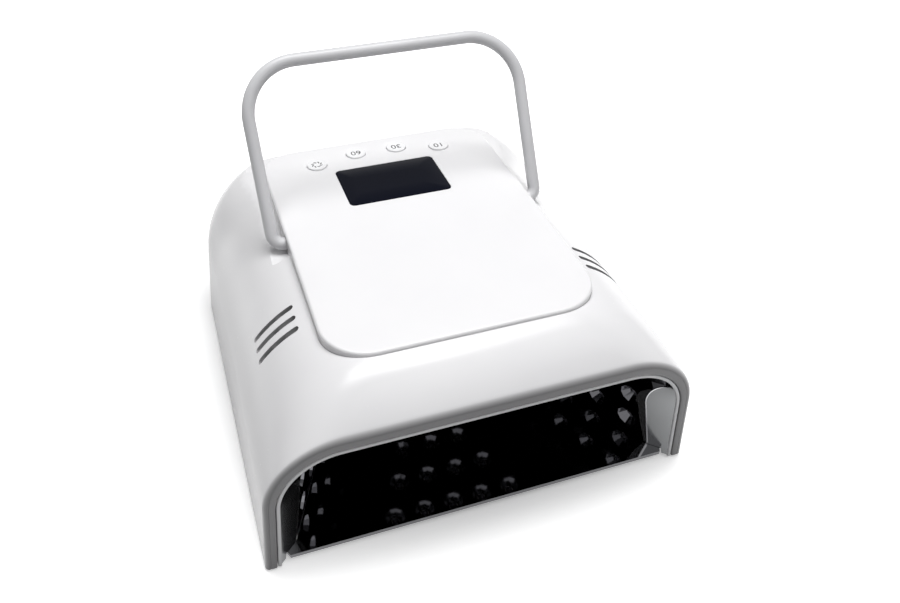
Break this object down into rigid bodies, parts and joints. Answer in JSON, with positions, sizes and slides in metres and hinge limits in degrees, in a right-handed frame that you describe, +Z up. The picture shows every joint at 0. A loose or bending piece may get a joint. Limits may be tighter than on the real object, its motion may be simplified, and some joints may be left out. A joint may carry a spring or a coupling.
{
  "type": "led nail lamp",
  "caption": "Cordless LED nail lamp: white arched case, raised control panel with dark display and push buttons, side vents, fold-down bail handle, mirrored hand cavity with a pull-out tray.",
  "frame": {"origin": "centre of the footprint, at the level the feet stand on", "axes": "+Z up, +Y from the mouth to the rear wall, +X to the right seen from the mouth"},
  "size_m": [0.2264, 0.226, 0.1741],
  "materials": {
    "white_plastic": "glossy moulded white, polished",
    "panel_white": "glossy white cover sheet",
    "band_grey": "satin mid grey trim",
    "lip_grey": "satin pale grey",
    "mirror_black": "dark mirror coating on plastic",
    "tray_mirror": "dark mirror coating on plastic",
    "cup_mirror": "bright plated facets",
    "led_lens": "clear dome over a violet chip",
    "board_white": "white solder mask",
    "board_green": "green solder mask",
    "part_black": "black moulded electronics housing",
    "steel": "zinc plated",
    "rubber_black": "matt",
    "cell_sleeve": "thin blue sleeve over a metal can",
    "nylon": "natural nylon",
    "display_glass": "dark tinted, polished",
    "button_white": "satin white",
    "handle_satin": "satin silver, painted tube"
  },
  "bodies": {
    "case": {"upper_housing": "white_plastic", "control_panel": "panel_white", "front_bezel": "band_grey", "mouth_collar": "lip_grey", "reflector": "mirror_black", "reflector_cups": "cup_mirror", "uv_leds": "led_lens", "top_led_board": "board_white", "left_led_board": "board_white", "right_led_board": "board_white", "presence_sensor": "part_black", "base_frame": "white_plastic", "frame_magnets": "steel", "rubber_feet": "rubber_black", "base_screws": "steel", "battery_cells": "cell_sleeve", "battery_cradle": "part_black", "battery_straps": "steel", "strap_screws": "steel", "main_board": "board_green", "display_board": "board_green", "display_module": "part_black", "display_window": "display_glass", "tact_switches": "part_black", "handle_bushes": "nylon", "handle_washers": "steel", "dc_jack": "part_black", "panel_screws": "steel", "board_screws": "steel"},
    "tray": {"floor_tray": "tray_mirror", "tray_magnets": "steel"},
    "bail": {"handle": "handle_satin", "handle_clips": "steel"},
    "key_mode": {"button_mode": "button_white", "plunger_mode": "part_black"},
    "key_60": {"button_60": "button_white", "plunger_60": "part_black"},
    "key_30": {"button_30": "button_white", "plunger_30": "part_black"},
    "key_10": {"button_10": "button_white", "plunger_10": "part_black"}
  },
  "joints": [
    {"name": "handle_swing", "type": "hinge", "parent": "case", "child": "bail", "pos_m": [0, 0.0177, 0.0923], "axis": [1, 0, 0], "range_deg": [-58.5, 100]},
    {"name": "tray_pull", "type": "slide", "parent": "case", "child": "tray", "axis": [0, -1, 0], "range_m": [0, 0.17]},
    {"name": "press_mode", "type": "slide", "parent": "case", "child": "key_mode", "axis": [0, -0.0499, -0.9988], "range_m": [0, 0.0005], "stiffness_N_per_m": 3200},
    {"name": "press_60", "type": "slide", "parent": "case", "child": "key_60", "axis": [0, -0.0499, -0.9988], "range_m": [0, 0.0005], "stiffness_N_per_m": 3200},
    {"name": "press_30", "type": "slide", "parent": "case", "child": "key_30", "axis": [0, -0.0499, -0.9988], "range_m": [0, 0.0005], "stiffness_N_per_m": 3200},
    {"name": "press_10", "type": "slide", "parent": "case", "child": "key_10", "axis": [0, -0.0499, -0.9988], "range_m": [0, 0.0005], "stiffness_N_per_m": 3200}
  ]
}
